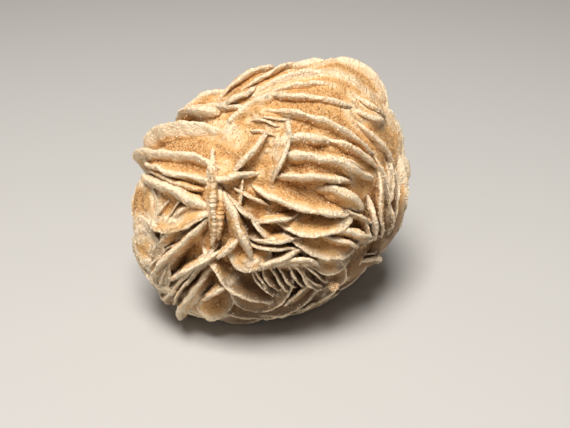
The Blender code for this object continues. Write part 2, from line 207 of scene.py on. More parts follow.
FRONT_APRON = (
    Blade((-8.4, -14.4), (-5.4, -16.5), (-1.0, -14.8), 1.0),
    Blade((-12.6, -14.8), (-7.4, -20.9), (0.0, -22.4), 1.2),
    Blade((-4.0, -16.6), (-3.0, -19.0), (0.0, -21.2), 0.5, 0.5),
    Blade((-1.8, -17.4), (-1.0, -19.0), (0.6, -20.2), 0.5, 0.8),
    Blade((0.2, -17.2), (1.4, -19.0), (3.2, -20.4), 0.5, 0.5),
    Blade((1.6, -16.6), (2.6, -18.2), (4.4, -19.8), 0.5, 0.8),
    Blade((4.0, -14.4), (6.2, -18.0), (10.0, -20.2), 0.6),
    Blade((-8.6, -20.4), (-4.6, -24.6), (0.4, -23.4), 1.0, dive=4.0),
    Blade((-8.4, -25.0), (-1.0, -25.9), (9.0, -22.8), 1.0),
    Blade((-0.8, -24.2), (2.2, -22.6), (3.4, -20.6), 0.8),
    Blade((2.6, -22.6), (4.4, -21.2), (6.4, -19.8), 0.8, 0.5),
    Blade((4.4, -25.0), (9.0, -22.7), (13.0, -20.4), 1.0),
)
# Fine blades and striations that only the looks have.
FINE = (
    Blade((-4.4, 13.9), (-1.6, 13.6), (2.0, 12.6), 0.5, 1.2, bare=-0.7, clean=0.9),
    Blade((-4.4, 11.8), (-1.6, 11.5), (1.6, 10.6), 0.5, 1.4, bare=-0.7, clean=0.9),
    Blade((-1.6, 14.6), (0.4, 14.5), (2.4, 14.1), 0.4, 1.2, bare=-0.7, clean=0.9),
    Blade((-5.4, -0.6), (-4.4, -1.2), (-3.4, -1.8), 0.5, 2.2),
    Blade((-5.8, 1.0), (-6.0, -0.4), (-6.4, -1.6), 0.4, 2.2),
    Blade((-6.4, -3.6), (-5.2, -4.8), (-4.2, -5.6), 0.5, 1.6),
    Blade((-3.6, -6.6), (-2.4, -8.2), (-0.2, -9.8), 0.6, 0.8),
    Blade((-18.8, -2.4), (-19.6, -3.2), (-20.4, -4.4), 0.4, 1.8),
    Blade((-23.4, 2.4), (-25.2, -2.4), (-23.4, -7.6), 1.2, 1.2, clean=-0.8),
    Blade((-22.6, 1.0), (-23.6, -2.0), (-22.8, -5.6), 0.9, 1.8, clean=-0.8),
    Blade((-23.2, -13.4), (-24.2, -14.4), (-24.8, -15.4), 0.6),
    Blade((-24.6, 4.6), (-18.8, 1.6), (-12.2, -0.4), 1.4, 1.0, clean=-1.5),
    Blade((12.6, 6.6), (15.0, 6.0), (18.4, 4.2), 0.5, 0.8),
    Blade((16.4, -4.8), (18.0, -5.6), (19.8, -7.0), 0.6, 0.6),
    Blade((-3.4, -16.2), (-2.4, -17.8), (-1.6, -19.0), 0.5, 0.8),
    Blade((3.2, -15.8), (4.2, -17.4), (6.2, -19.4), 0.5, 0.8),
    Blade((6.2, -17.0), (7.8, -18.4), (9.4, -19.6), 0.6, 0.4),
    Blade((5.2, -13.6), (7.4, -16.0), (10.6, -18.6), 0.5, 0.8),
    Blade((-19.1, 14.5), (-14.6, 18.9), (-8.6, 20.2), 1.3, -0.3, dive=5.0),
    Blade((-9.2, 19.6), (-5.4, 22.9), (0.4, 24.8), 1.2, -0.2, dive=4.0),
    Blade((-12.6, 15.4), (-11.4, 15.9), (-10.2, 15.4), 1.6, 0.9, dive=2.5),
    Blade((-10.6, 1.0), (-10.3, -4.0), (-10.6, -9.6), 1.5, 1.3, clean=-1.2, ribs=0.14),
    Blade((-21.6, -6.4), (-22.4, -9.4), (-21.6, -12.4), 1.2, 2.0, clean=-0.8),
    Blade((20.4, 6.6), (22.6, 3.0), (23.0, -2.0), 0.5, 0.5),
    Blade((22.4, 3.6), (23.4, -0.6), (23.4, -5.0), 0.5, 0.4),
    Blade((25.2, 2.4), (25.6, -2.4), (24.0, -8.0), 0.6, 0.4),
    Blade((18.8, -6.4), (19.6, -8.6), (19.4, -11.0), 0.5, 0.6),
)
FRONT = UPPER_LEFT + LEFT + FINGERS + CENTRE + UPPER_RIGHT + RIGHT_FLANK + LOWER_RIGHT + FRONT_APRON
# A short pair of plates that points to the right, seen edge on: right, up, depth, radius and thickness.
SPUR = ((17.7, -14.1, 5.0, 4.0, 1.5), (17.2, -12.6, 5.0, 3.6, 0.6))
STACKED = RIGHT_FLANK  # blades with thinner plates against them

# ---- the grain of the finish ----
SECTION_RINGS = (
    # (distance from the rim as a share of the thickness, plus millimetres; share of the full thickness)
    (0.00, 0.0, 0.00),
    (0.04, 0.0, 0.25),
    (0.14, 0.0, 0.46),
    (0.32, 0.0, 0.66),
    (0.40, 0.4, 0.82),
    (0.40, 1.0, 0.94),
    (0.40, 1.8, 1.00),
    (0.40, 2.8, 1.00),
    (0.40, 4.0, 1.00),
    (0.40, 5.6, 1.00),
)
RIM_SHARE = 0.9  # thickness of a rim, as a share of the one given
WEDGE = 0.05  # how fast half the thickness grows towards a blade's middle
TAPER = 0.6  # how much thinner a rim is opposite its crest
CREST_CROWDING = 0.55  # how much closer the blank's steps lie at the crest
FRONT_STEP = 1.3 * MM
BACK_STEP = 1.9 * MM
FEWEST_STEPS = 22
RIBBED_STEPS = 3  # times as many steps on a blade with ribs
FULL_SECTION = 9 * MM  # from this radius on the section isn't shortened
SQUAREST = 3.0  # exponent of the fullest outline of a blade, where a round one has 2
RIB_LENGTH = 0.9 * MM
RIB_DRIFT = 4.3  # ribs after which their spacing repeats
DENT_AT = 0.63  # radians from the crest
DENT_WIDTH = 0.36
NOTCHES_WITHIN = 1.1  # radians from the crest
NOTCH_DEPTH = (0.6, 2.6)  # times the rim's bite
NOTCH_WIDTH = (0.5, 1.3)  # in millimetres
# Longest and shortest wave of the thickness, the rim, its fine edge, and the face both ways.
THICKNESS_WAVES = (6 * MM, 1.0 * MM)
RIM_WAVES = (9 * MM, 1.2 * MM)
EDGE_WAVES = (1.7 * MM, 1.0 * MM)
FACE_WAVES = (16 * MM, 3 * MM)
CROSS_WAVES = (12 * MM, 2.5 * MM)
PLATE_SINK = (0.2, 0.9)  # in millimetres, how much lower a thinner plate's crest stands
PLATE_TILT = 0.10
PLATE_TURN = 0.25
PLATE_THICKNESS = (0.35, 0.6)  # times the thickness of the blade beside it
THINNEST_STEPPED = 0.75 * MM
GROWTH_STEPS = (((0.6, 1.5), 0.7), ((2.0, 3.4), 1.5))  # how far behind the rim, and how much thicker
SMALLEST_STEP = 2.5 * MM
SAND_CORE = 0.86
CORE_SHRINK = 0.08  # how much smaller the core inside the blades is than the sand's
TOP_FILL = 0.10
TOP_FILL_AROUND = math.radians(55)
CENTRE_HOLLOW = 0.05
HIP = 0.19  # the smooth swelling at the lower right, as a share of the envelope
HIP_AROUND = -0.80
HIP_LIFT = 0.15
HIP_SIZE = (0.30, 0.45)  # radians around and up
SAND_VOXEL = 0.52 * MM
SAND_BLADE_STEPS = 26
SOFTENING = 0.5
LUMPS_PER_METRE = 700
LUMPS = (0.7, 2.2, 3)  # how fast they get lower, how much smaller each is, and of how many sizes they are
DEEPER_IF_BARE = 3  # times that the sand starts deeper under a rim without banks
BARE_BELOW = -10.0  # on the drawing, in millimetres: no banks of sand stand under this height
SANDY_ABOVE = 3.0  # and over this one they are full
BANK_SLOPE = 0.2
BARE_SINK = 0.06  # how much lower the heart lies under the bare fans, as a share of the envelope
SANDY_SWELL = 0.3  # how much thicker blades are where sand is stuck to them
GRAINS = 22000
SAND_SIZES = (0.07 * MM, 0.17 * MM)
SUGAR_SIZES = (0.06 * MM, 0.20 * MM)
CLOT_SIZES = (0.08 * MM, 0.16 * MM)
CLOT_GRAINS = 500
CLOT_LUMPS = (0.8, 2.1, 3)
CLOT = (12.2, -19.4)  # on the drawing
CLOT_LIFT = 1.0 * MM  # how far it stands in front of the envelope
FURTHEST_FROM_RIM = 6.0 * MM
FURTHEST_FROM_SAND = 4 * MM
OPENNESS_RAYS = 10
OPENNESS_REACH = 7 * MM
LOWEST = 0.02 * MM
CLEAR_OF_FLOOR = 0.3 * MM
# Cells and noises of the material, each per metre.
SAND_CELLS = 3300
PATCHES = 420
BUMPS = 800
PITS = 2600
CAMERA_LENS = 52.9
CAMERA_BACK = 144.7 * MM
CAMERA_UP = 84.2 * MM
CAMERA_PITCH = math.radians(31.84)
CAMERA_YAW = math.radians(1.03)
LIGHTS = (
    # (name, place, size, share of the main light's power, colour)
    ("key", (-0.03, -0.14, 0.47), 0.20, 1.0, (1.0, 0.96, 0.90)),
    ("fill", (-0.28, -0.45, 0.26), 0.4, 0.10, (1.0, 0.87, 0.74)),
)
ROOM_COLOUR = (1.0, 0.91, 0.81)
ROOM_STRENGTH = 0.10
FLOOR_COLOUR = (0.50, 0.495, 0.49)
FLOOR_REACH = 3.0


# ---- places on the stone ----
def outline_radius(angle):
    place = (math.degrees(angle) % 360) / (360 / len(OUTLINE))
    before = int(place) % len(OUTLINE)
    after = (before + 1) % len(OUTLINE)
    share = place - int(place)
    share = share * share * (3 - 2 * share)
    return (OUTLINE[before] * (1 - share) + OUTLINE[after] * share) * MM


def in_space(right, up, depth):
    shrink = 1 - max(depth, RIM_DEPTH) / SIGHT_DISTANCE
    return HEART + RIGHT * right * shrink + UP * up * shrink + TOWARDS * depth


def envelope_depth(right, up):
    share = min(1.0, math.hypot(right, up) / outline_radius(math.atan2(up, right)))
    return RIM_DEPTH + (FRONT_DEPTH - RIM_DEPTH) * math.sqrt(1 - share * share)


def envelope_point(around, lift, share=1.0):
    radius = outline_radius(around) * math.cos(lift) * share
    reach = FRONT_DEPTH - RIM_DEPTH if lift > 0 else BACK_DEPTH + RIM_DEPTH
    depth = RIM_DEPTH + reach * math.sin(lift) * share
    return in_space(radius * math.cos(around), radius * math.sin(around), depth)


def crest_towards(outward):
    around = math.atan2(outward.dot(UP), outward.dot(RIGHT))
    return envelope_point(around, math.asin(max(-1.0, min(1.0, outward.dot(TOWARDS)))))


def rim_points(blade):
    chord = math.dist(blade.start, blade.end) * MM
    dive = min(END_DIVE * chord, DEEPEST_DIVE) if blade.dive is None else blade.dive * MM
    points = []
    for (right, up), under in ((blade.start, dive), (blade.crest, 0), (blade.end, dive)):
        depth = envelope_depth(right * MM, up * MM) - under - blade.sunk * MM
        points.append(in_space(right * MM, up * MM, depth))
    return points


def sandiness_at(place):
    """1 where sand fills the valleys nearly to the rims, 0 at the bare fans low on the stone."""
    up = (place - HEART).dot(UP) / MM
    return min(1.0, max(0.0, (up - BARE_BELOW) / (SANDY_ABOVE - BARE_BELOW)))


def fullness(depth, reaches):
    """Exponent of the outline that passes through both drawn ends, for a blade cut short by its depth."""
    best = 2.0
    for across, down in reaches:
        if down >= depth or across >= depth:
            continue
        low, high = 2.0, SQUAREST
        for _ in range(20):
            middle = (low + high) / 2
            outside = (across / depth) ** middle + (1 - down / depth) ** middle > 1
            low, high = (middle, high) if outside else (low, middle)
        best = max(best, low)
    return best


def front_disc(blade):
    start, crest, end = rim_points(blade)
    first = start - crest
    second = end - crest
    normal = first.cross(second)
    towards_centre = first.length_squared * second - second.length_squared * first
    offset = towards_centre.cross(normal) / (2 * normal.length_squared)
    radius = min(max(offset.length, SMALLEST_BLADE), WIDEST_BLADE)
    along = offset.cross(normal).normalized()
    home = HEART - crest
    home = (home - along * home.dot(along)).normalized()
    inward = (offset.normalized() * (1 - blade.lean) + home * blade.lean).normalized()
    full = blade.full
    if offset.length > WIDEST_BLADE:
        full = fullness(radius, [(abs(reach.dot(along)), reach.dot(inward)) for reach in (first, second)])
    thickness = blade.thickness * (1 + SANDY_SWELL * sandiness_at(crest)) * MM
    normal = along.cross(inward)
    dent = math.copysign(blade.dent * MM, normal.cross(-inward).dot(RIGHT))
    centre = crest + inward * radius
    bare = blade.bare * MM
    clean = blade.clean * MM
    return Disc(centre, normal, -inward, radius, thickness, full, bare, clean, dent, blade.ribs * MM)


def hidden_discs():
    chance = random.Random(SEED)
    left_end = in_space(SEAM_LEFT[0] * MM, SEAM_LEFT[1] * MM, 0)
    right_end = in_space(SEAM_RIGHT[0] * MM, SEAM_RIGHT[1] * MM, 0)
    seam = (right_end - left_end).normalized()
    top = (UP - seam * UP.dot(seam)).normalized()
    discs = []
    for number in range(HIDDEN_PLANES):
        turn = FIRST_PLANE + (LAST_PLANE - FIRST_PLANE) * number / (HIDDEN_PLANES - 1)
        middle = Matrix.Rotation(-turn, 3, seam) @ top
        for blade in range(BLADES_ON_PLANE):
            share = (blade + 0.25 + 0.5 * (number % 2)) / BLADES_ON_PLANE
            bend = HALF_SPREAD * (2 * share - 1) + chance.uniform(-SHIFT_ALONG, SHIFT_ALONG)
            outward = (middle * math.cos(bend) + seam * math.sin(bend)).normalized()
            normal = outward.cross(seam).normalized()
            normal = Matrix.Rotation(chance.uniform(-TURN_ASIDE, TURN_ASIDE), 3, outward) @ normal
            normal = Matrix.Rotation(chance.uniform(-LEAN_OVER, LEAN_OVER), 3, seam) @ normal
            inward = (outward - normal * outward.dot(normal)).normalized()
            radius = chance.uniform(*HIDDEN_RADIUS)
            centre = crest_towards(outward) - inward * radius
            disc = Disc(centre, normal, inward, radius, chance.uniform(*HIDDEN_THICKNESS))
            discs.append(disc._replace(bare=HIDDEN_BARE, clean=HIDDEN_CLEAN))
    return discs


def feet_discs():
    discs = []
    for x, y, turn in FEET:
        centre = Vector((x * MM, y * MM, FOOT_RADIUS - FOOT_WEAR))
        normal = Matrix.Rotation(math.radians(turn), 3, "Z") @ Vector((0, 1, 0))
        discs.append(Disc(centre, normal, Vector((0, 0, -1)), FOOT_RADIUS, FOOT_THICKNESS))
    return discs


def companions(discs, seed, chances, apart):
    """Thinner plates that grew beside some of the blades."""
    chance = random.Random(seed)
    found = []
    for disc in discs:
        if chance.random() > chances:
            continue
        side = chance.choice((-1, 1))
        shift = side * (disc.thickness * 0.5 + chance.uniform(*apart) * MM)
        sink = chance.uniform(*PLATE_SINK) * MM
        tilt = Matrix.Rotation(chance.uniform(-PLATE_TILT, PLATE_TILT), 3, disc.crestward)
        tilt = Matrix.Rotation(chance.uniform(-PLATE_TURN, PLATE_TURN), 3, disc.normal) @ tilt
        crestward = tilt @ disc.crestward
        normal = tilt @ disc.normal
        centre = disc.centre + disc.normal * shift - crestward * sink
        thickness = disc.thickness * chance.uniform(*PLATE_THICKNESS)
        found.append(Disc(centre, normal, crestward, disc.radius, thickness))
    return found


def terraces(discs, seed):
    """Growth steps: smaller and thicker blades about the same middle plane."""
    chance = random.Random(seed)
    found = []
    for disc in discs:
        if disc.thickness < THINNEST_STEPPED:
            continue
        for back, swell in [(chance.uniform(*backs), swell) for backs, swell in GROWTH_STEPS]:
            radius = disc.radius - back * MM
            if radius < SMALLEST_STEP:
                continue
            turn = Matrix.Rotation(chance.uniform(-0.2, 0.2), 3, disc.normal)
            crestward = turn @ disc.crestward
            thickness = disc.thickness + swell * chance.uniform(0.75, 1.25) * MM
            centre = disc.centre + disc.normal * chance.uniform(-0.08, 0.08) * MM
            step = disc._replace(centre=centre, crestward=crestward, radius=radius)
            found.append(step._replace(thickness=thickness, ribs=0.0))
    return found


# ---- meshes, objects and nodes ----
def new_mesh(name, mesh):
    """Makes a mesh of a bmesh, and frees the bmesh."""
    data = bpy.data.meshes.new(name)
    mesh.to_mesh(data)
    mesh.free()
    return data


def placed(name, data):
    obj = bpy.data.objects.new(name, data)
    bpy.context.scene.collection.objects.link(obj)
    return obj


def settled(obj, name):
    """What the object's modifiers make of its mesh. The object itself goes."""
    bpy.context.view_layer.update()
    data = bpy.data.meshes.new_from_object(obj.evaluated_get(bpy.context.evaluated_depsgraph_get()))
    source = obj.data
    bpy.data.objects.remove(obj)
    bpy.data.meshes.remove(source)
    data.name = name
    return data


def feed(tree, socket, value):
    """Wires a socket to another one, or sets its number or colour."""
    if isinstance(value, bpy.types.NodeSocket):
        tree.links.new(value, socket)
    else:
        socket.default_value = (*value, 1.0) if socket.type == "RGBA" else value


def new_node(tree, kind, inputs=None, **settings):
    node = tree.nodes.new(kind)
    for name, value in settings.items():
        setattr(node, name, value)
    for name, value in (inputs or {}).items():
        feed(tree, node.inputs[name], value)
    return node


# ---- blades ----
def turned_blank(steps):
    """A lens whose rings stand one unit apart, spun from half its section. z is +1 above and -1 below."""
    rings = len(SECTION_RINGS) - 1
    mesh = bmesh.new()
    section = [mesh.verts.new((ring, 0, 1)) for ring in range(rings + 1)]
    section.append(mesh.verts.new((rings + 1, 0, 0)))
    section += [mesh.verts.new((ring, 0, -1)) for ring in range(rings, -1, -1)]
    edges = [mesh.edges.new(pair) for pair in zip(section, section[1:])]
    bmesh.ops.spin(mesh, geom=section + edges, axis=(0, 0, 1), angle=math.tau, steps=steps, use_merge=True)
    bmesh.ops.remove_doubles(mesh, verts=mesh.verts, dist=0.01)
    bmesh.ops.recalc_face_normals(mesh, faces=mesh.faces)
    return new_mesh("blank", mesh)


def places_of(data):
    places = np.empty(len(data.vertices) * 3, np.float32)
    data.vertices.foreach_get("co", places)
    return places.reshape(-1, 3).astype(float)


def set_places(data, places):
    data.vertices.foreach_set("co", places.astype(np.float32).ravel())
    data.update()


def ripple(chance, place, waves, height):
    """A sum of sines along a line, in metres, whose waves get lower as they get shorter."""
    longest, shortest = waves
    total = np.zeros_like(place)
    length = longest
    while length > shortest:
        phase = chance.uniform(0, math.tau)
        total += np.sin(place * math.tau / length + phase) * height * (length / longest) ** 0.8
        length *= chance.uniform(0.5, 0.65)
    return total


def outline_reach(disc, turn):
    """How far the outline reaches in each direction from the disc's centre."""
    shape = (np.abs(np.cos(turn)) ** disc.full + np.abs(np.sin(turn)) ** disc.full) ** (-1 / disc.full)
    dented = abs(disc.dent) * np.exp(-(((turn * np.sign(disc.dent) - DENT_AT) / DENT_WIDTH) ** 2))
    return disc.radius * shape - dented


def blade_places(blank, disc, chance, settings, wedge=WEDGE):
    """Where the blank's vertices go for one blade."""
    rings = len(SECTION_RINGS)
    ring = np.rint(np.hypot(blank[:, 0], blank[:, 1])).astype(int)
    turn = np.arctan2(blank[:, 1], blank[:, 0])
    turn = turn - CREST_CROWDING * np.sin(turn)
    side = np.sign(np.rint(blank[:, 2]))
    from_rim = np.clip(rings - ring, 0, rings - 1)
    small = min(1.0, disc.radius / FULL_SECTION)
    gaps = np.array([(share * disc.thickness + extra * MM) * small for share, extra, _ in SECTION_RINGS])
    blunt = np.array([share for _, _, share in SECTION_RINGS])
    middle = ring == 0
    inside = np.where(middle, disc.radius, gaps[from_rim])
    half = np.where(middle, 1.0, blunt[from_rim]) * disc.thickness / 2 * RIM_SHARE
    half *= 1 - TAPER * np.sin(turn / 2) ** 2
    arc = turn * disc.radius
    fade = 1 - inside / disc.radius
    half *= 1 + ripple(chance, arc, THICKNESS_WAVES, 0.12) * fade**2
    half += wedge * inside * (side != 0)
    edge = ripple(chance, arc, RIM_WAVES, settings.rim_bite)
    edge += chance.uniform(0.5, 1.2) * ripple(chance, arc, EDGE_WAVES, settings.rim_bite * 0.4)
    for _ in range(chance.randint(0, 3)):
        notch = chance.uniform(-NOTCHES_WITHIN, NOTCHES_WITHIN)
        depth = chance.uniform(*NOTCH_DEPTH) * settings.rim_bite
        width = chance.uniform(*NOTCH_WIDTH) * MM
        edge -= depth * np.exp(-(((turn - notch) * disc.radius / width) ** 2))
    if disc.ribs:
        drift = 1.5 * np.sin(arc * math.tau / (RIB_LENGTH * RIB_DRIFT))
        edge += disc.ribs * np.sin(arc * math.tau / RIB_LENGTH + drift)
    radius = fade * outline_reach(disc, turn) + edge * fade**3
    x = radius * np.cos(turn)
    y = radius * np.sin(turn)
    warp = ripple(chance, x + 0.7 * y, FACE_WAVES, settings.face_wave)
    warp += ripple(chance, y - 0.6 * x, CROSS_WAVES, settings.face_wave)
    z = side * half + warp * fade
    grit = np.random.default_rng(chance.randrange(10**6)).normal(0, settings.grit, (3, len(x)))
    x, y, z = x + grit[0], y + grit[1], z + grit[2]
    axes = np.array([disc.crestward, disc.normal.cross(disc.crestward), disc.normal])
    return np.stack([x, y, z], axis=1) @ axes + np.array(disc.centre)


def blade_objects(discs, collection, step, seed, settings):
    chance = random.Random(seed)
    blanks = {}
    for disc in discs:
        steps = int(max(FEWEST_STEPS, math.tau * disc.radius / step)) * (RIBBED_STEPS if disc.ribs else 1)
        if steps not in blanks:
            blanks[steps] = turned_blank(steps)
        blade = blanks[steps].copy()
        set_places(blade, blade_places(places_of(blade), disc, chance, settings))
        obj = bpy.data.objects.new("blade", blade)
        collection.objects.link(obj)
    for blank in blanks.values():
        bpy.data.meshes.remove(blank)


def drop_collection(collection):
    for obj in list(collection.objects):
        data = obj.data
        bpy.data.objects.remove(obj)
        bpy.data.meshes.remove(data)
    bpy.data.collections.remove(collection)


def core_mesh(shrink):
    """The sandy heart: the sand lies high at the upper right and low in the middle of the front."""
    mesh = bmesh.new()
    bmesh.ops.create_icosphere(mesh, subdivisions=4, radius=1)
    for vert in mesh.verts:
        around = math.atan2(vert.co.y, vert.co.x)
        lift = math.asin(max(-1.0, min(1.0, vert.co.z)))
        share = SAND_CORE + TOP_FILL * max(0.0, math.cos(around - TOP_FILL_AROUND)) * math.cos(lift)
        share -= CENTRE_HOLLOW * max(0.0, math.sin(lift)) ** 6
        offset = ((around - HIP_AROUND) / HIP_SIZE[0], (lift - HIP_LIFT) / HIP_SIZE[1])
        share += HIP * math.exp(-(offset[0] ** 2) - offset[1] ** 2)
        bare = 1 - sandiness_at(envelope_point(around, lift)) if lift > -0.3 else 0.5
        vert.co = envelope_point(around, lift, share - shrink - BARE_SINK * bare)
    return new_mesh("core", mesh)


def island_round(vert):
    found = {vert}
    frontier = [vert]
    while frontier:
        for edge in frontier.pop().link_edges:
            for other in edge.verts:
                if other not in found:
                    found.add(other)
                    frontier.append(other)
    return found


def keep_outer_skin(data):
    mesh = bmesh.new()
    mesh.from_mesh(data)
    outer = island_round(max(mesh.verts, key=lambda vert: vert.co.z))
    inner = [vert for vert in mesh.verts if vert not in outer]
    bmesh.ops.delete(mesh, geom=inner, context="VERTS")
    bmesh.ops.triangulate(mesh, faces=[face for face in mesh.faces if len(face.verts) > 4])
    mesh.to_mesh(data)
    mesh.free()


def grown_together(name, discs, step, seed, settings):
    """One closed mesh of all the blades and a small core that joins them."""
    blades = bpy.data.collections.new("growing")
    bpy.context.scene.collection.children.link(blades)
    blade_objects(discs, blades, step, seed, settings)
    core = placed("core", core_mesh(CORE_SHRINK))
    join = core.modifiers.new("join", "BOOLEAN")
    join.operation = "UNION"
    join.solver = "MANIFOLD"
    join.operand_type = "COLLECTION"
    join.collection = blades
    data = settled(core, name)
    drop_collection(blades)
    keep_outer_skin(data)
    return data


def press_flat(data):
    """Nothing reaches under the plane that the stone stands on."""
    places = places_of(data)
    places[:, 2] = np.maximum(places[:, 2], LOWEST)
    set_places(data, places)


# ---- what the finish reads off the shape ----
def store(data, name, values):
    attribute = data.attributes.new(name, "FLOAT", "POINT")
    attribute.data.foreach_set("value", values.astype(np.float32))


def values_of(data, name):
    values = np.empty(len(data.vertices), np.float32)
    data.attributes[name].data.foreach_get("value", values)
    return values.astype(float)


def nearest_rim(places, discs):
    """In metres: the distance from each place to the nearest rim with the blades' clean bands left out, the
    true distance to that rim, and how far along it the place lies."""
    best = np.full(len(places), FURTHEST_FROM_RIM)
    true = best.copy()
    along = np.zeros(len(places))
    for number, disc in enumerate(discs):
        offset = places - np.array(disc.centre)
        near = np.einsum("ij,ij->i", offset, offset) < (disc.radius * 1.2 + FURTHEST_FROM_RIM) ** 2
        offset = offset[near]
        off_plane = np.abs(offset @ np.array(disc.normal))
        ahead = offset @ np.array(disc.crestward)
        across = offset @ np.array(disc.normal.cross(disc.crestward))
        turn = np.arctan2(across, ahead)
        inside = outline_reach(disc, turn) - np.hypot(ahead, across)
        gap = np.hypot(np.maximum(off_plane - disc.thickness * 0.4, 0), inside)
        on_blade = np.exp(-((off_plane / (disc.thickness + MM)) ** 2)) * (inside > -disc.thickness)
        distance = np.maximum(gap - (disc.bare + disc.clean) * on_blade, 0)
        closer = distance < best[near]
        where = np.flatnonzero(near)[closer]
        best[where] = distance[closer]
        true[where] = gap[closer]
        along[where] = (turn * disc.radius)[closer] + number * 0.1
    return best, true, along


def height_above(places, tree):
    """Distance from each place to the sand."""
    heights = np.empty(len(places))
    for index, place in enumerate(places):
        found = tree.find_nearest(Vector(place), FURTHEST_FROM_SAND)[3]
        heights[index] = FURTHEST_FROM_SAND if found is None else found
    return heights


def openness(places, normals, tree):
    """The share of directions about the normal in which nothing stands within reach."""
    chance = random.Random(3)
    directions = []
    while len(directions) < OPENNESS_RAYS:
        direction = Vector([chance.uniform(-1, 1) for _ in range(3)])
        if 0.1 < direction.length < 1:
            directions.append(direction.normalized())
    open_share = np.empty(len(places))
    for index, (place, normal) in enumerate(zip(places, normals)):
        normal = Vector(normal)
        origin = Vector(place) + normal * (0.06 * MM)
        ways = [(direction + normal * 1.05).normalized() for direction in directions]
        free = sum(tree.ray_cast(origin, way, OPENNESS_REACH)[0] is None for way in ways)
        open_share[index] = free / OPENNESS_RAYS
    return open_share


def normals_of(data):
    normals = np.empty(len(data.vertices) * 3, np.float32)
    data.vertices.foreach_get("normal", normals)
    return normals.reshape(-1, 3).astype(float)


def tree_of(meshes):
    points = []
    faces = []
    for data in meshes:
        start = len(points)
        points += [vert.co.copy() for vert in data.vertices]
        faces += [[start + index for index in polygon.vertices] for polygon in data.polygons]
    return BVHTree.FromPolygons(points, faces)


# ---- sand ----
def dusting(places):
    """How much sand sticks to each place: most in front, little at the back, at the right and underneath."""
    offset = (places - np.array(HEART)) / FRONT_DEPTH
    share = 0.5 + 0.7 * offset @ np.array(TOWARDS) - 0.1 * offset @ np.array(RIGHT)
    share -= 0.9 * np.maximum(-offset @ np.array(UP) - 0.45, 0)
    return np.clip(share, 0, 1)


def underside_shade(places):
    """Painted shade: 1 on the bottom of the front, which lies low and towards the right, and 0 elsewhere; the
    finish darkens it there as if in shadow.
    """
    offset = (places - np.array(HEART)) / MM
    right = offset @ np.array(RIGHT)
    down = np.clip((np.maximum(right - 11, 0) * 0.8 - offset @ np.array(UP) - 12) / 4, 0, 1)
    across = np.clip((right + 13) / 7, 0, 1)
    return down * across


def sand_mesh(discs, settings):
    """A core and the blades cut back from their rims, softened into banks of sand between the blades."""
    chance = random.Random(4)
    blank = turned_blank(SAND_BLADE_STEPS)
    mesh = bmesh.new()
    for disc in discs:
        blade = blank.copy()
        sandy = sandiness_at(disc.centre + disc.crestward * disc.radius)
        depth = settings.sand_depth * (1 + DEEPER_IF_BARE * (1 - sandy)) + disc.bare
        cut_back = disc._replace(
            radius=max(disc.radius - depth, SMALLEST_BLADE / 2),
            thickness=disc.thickness + settings.bank_width * sandy,
        )
        wedge = WEDGE + BANK_SLOPE * sandy
        set_places(blade, blade_places(places_of(blade), cut_back, chance, settings, wedge))
        mesh.from_mesh(blade)
        bpy.data.meshes.remove(blade)
    core = core_mesh(0.0)
    mesh.from_mesh(core)
    for spare in (core, blank):
        bpy.data.meshes.remove(spare)
    obj = placed("whole", new_mesh("whole", mesh))
    remesh = obj.modifiers.new("even", "REMESH")
    remesh.mode = "VOXEL"
    remesh.voxel_size = SAND_VOXEL
    smooth = obj.modifiers.new("soften", "SMOOTH")
    smooth.factor = SOFTENING
    smooth.iterations = settings.sand_softness
    softened = settled(obj, "valley_sand")
    keep_outer_skin(softened)
    places = places_of(softened)
    lumps = np.array([noise.fractal(Vector(place) * LUMPS_PER_METRE, *LUMPS) for place in places])
    places += normals_of(softened) * lumps[:, None] * settings.sand_lumps
    set_places(softened, places)
    return softened


def scattered(data, weights, count, chance):
    """Places on a mesh, drawn by its triangles' area times their weight."""
    data.calc_loop_triangles()
    corners = np.empty(len(data.loop_triangles) * 3, np.int32)
    data.loop_triangles.foreach_get("vertices", corners)
    corners = corners.reshape(-1, 3)
    places = places_of(data)[corners]
    areas = np.linalg.norm(np.cross(places[:, 1] - places[:, 0], places[:, 2] - places[:, 0]), axis=1)
    share = areas * weights[corners].mean(axis=1) * (places[:, :, 2].min(axis=1) > CLEAR_OF_FLOOR)
    picked = chance.choice(len(corners), count, p=share / share.sum())
    first, second = chance.random((2, count))
    swap = first + second > 1
    first[swap], second[swap] = 1 - first[swap], 1 - second[swap]
    edge_one = places[picked, 1] - places[picked, 0]
    edge_two = places[picked, 2] - places[picked, 0]
    return places[picked, 0] + edge_one * first[:, None] + edge_two * second[:, None]


